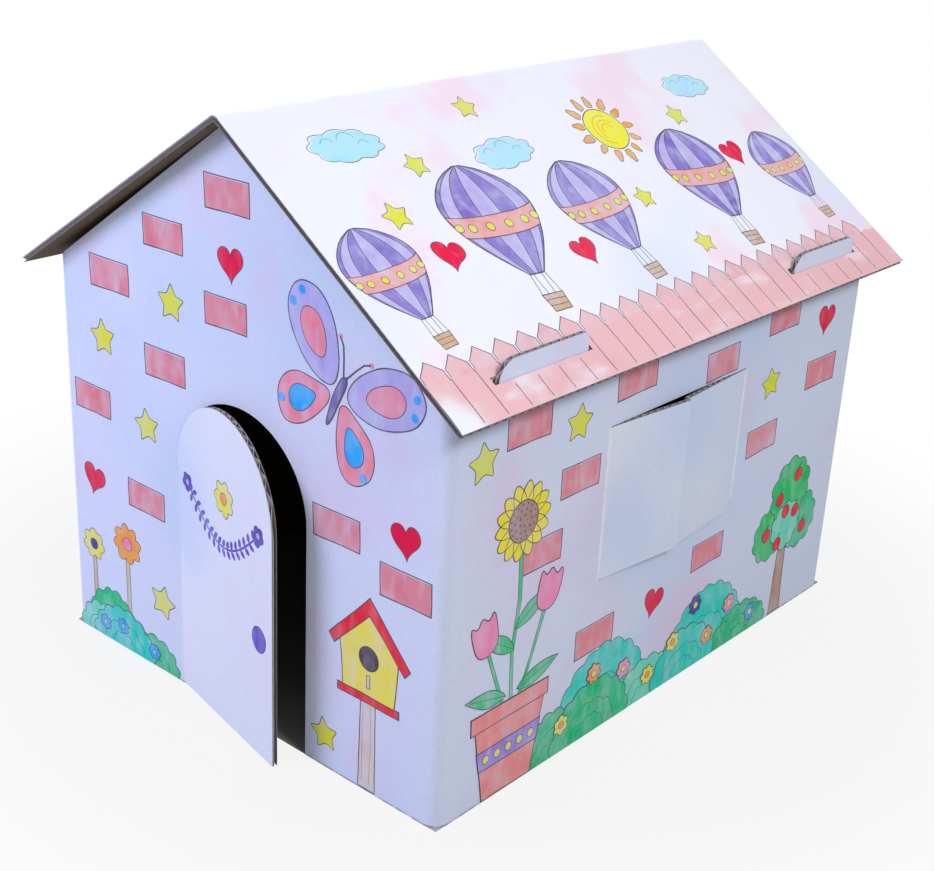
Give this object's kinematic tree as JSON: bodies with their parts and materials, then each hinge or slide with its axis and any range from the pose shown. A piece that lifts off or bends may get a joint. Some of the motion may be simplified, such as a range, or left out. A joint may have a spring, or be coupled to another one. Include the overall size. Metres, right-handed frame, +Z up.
{
  "type": "cardboard playhouse",
  "caption": "Cardboard playhouse: folded corrugated walls with an arched door flap and window shutters, under a folded gable roof held by wall tabs in its slots.",
  "frame": {"origin": "middle of the house's floor plan, on the surface that it stands on", "axes": "+X to the right along the door wall, +Y from the door wall to the back wall, +Z up"},
  "size_m": [0.4423, 0.5643, 0.4496],
  "materials": {
    "wall_board": "matte white-lined corrugated board, hand-painted outside and bare kraft inside",
    "roof_board": "matte white-lined corrugated board, hand-painted outside and bare kraft inside",
    "leaf_board": "matte white-lined corrugated board, almost bare outside and bare kraft inside"
  },
  "bodies": {
    "house": {"wall_sheet": "wall_board", "roof_sheet": "roof_board"},
    "door": {"door_leaf": "leaf_board"},
    "shutter_front": {"front_shutter": "leaf_board"},
    "shutter_rear": {"rear_shutter": "leaf_board"}
  },
  "joints": [
    {"name": "door_crease", "type": "hinge", "parent": "house", "child": "door", "pos_m": [-0.064, -0.255, 0.125], "axis": [0, 0, -1], "range_deg": [-12, 123]},
    {"name": "front_shutter_crease", "type": "hinge", "parent": "house", "child": "shutter_front", "pos_m": [0.2, -0.0915, 0.1895], "axis": [0, 0, -1], "range_deg": [-6, 129]},
    {"name": "rear_shutter_crease", "type": "hinge", "parent": "house", "child": "shutter_rear", "pos_m": [0.2, 0.0805, 0.1895], "axis": [0, 0, 1], "range_deg": [-4, 131]}
  ]
}
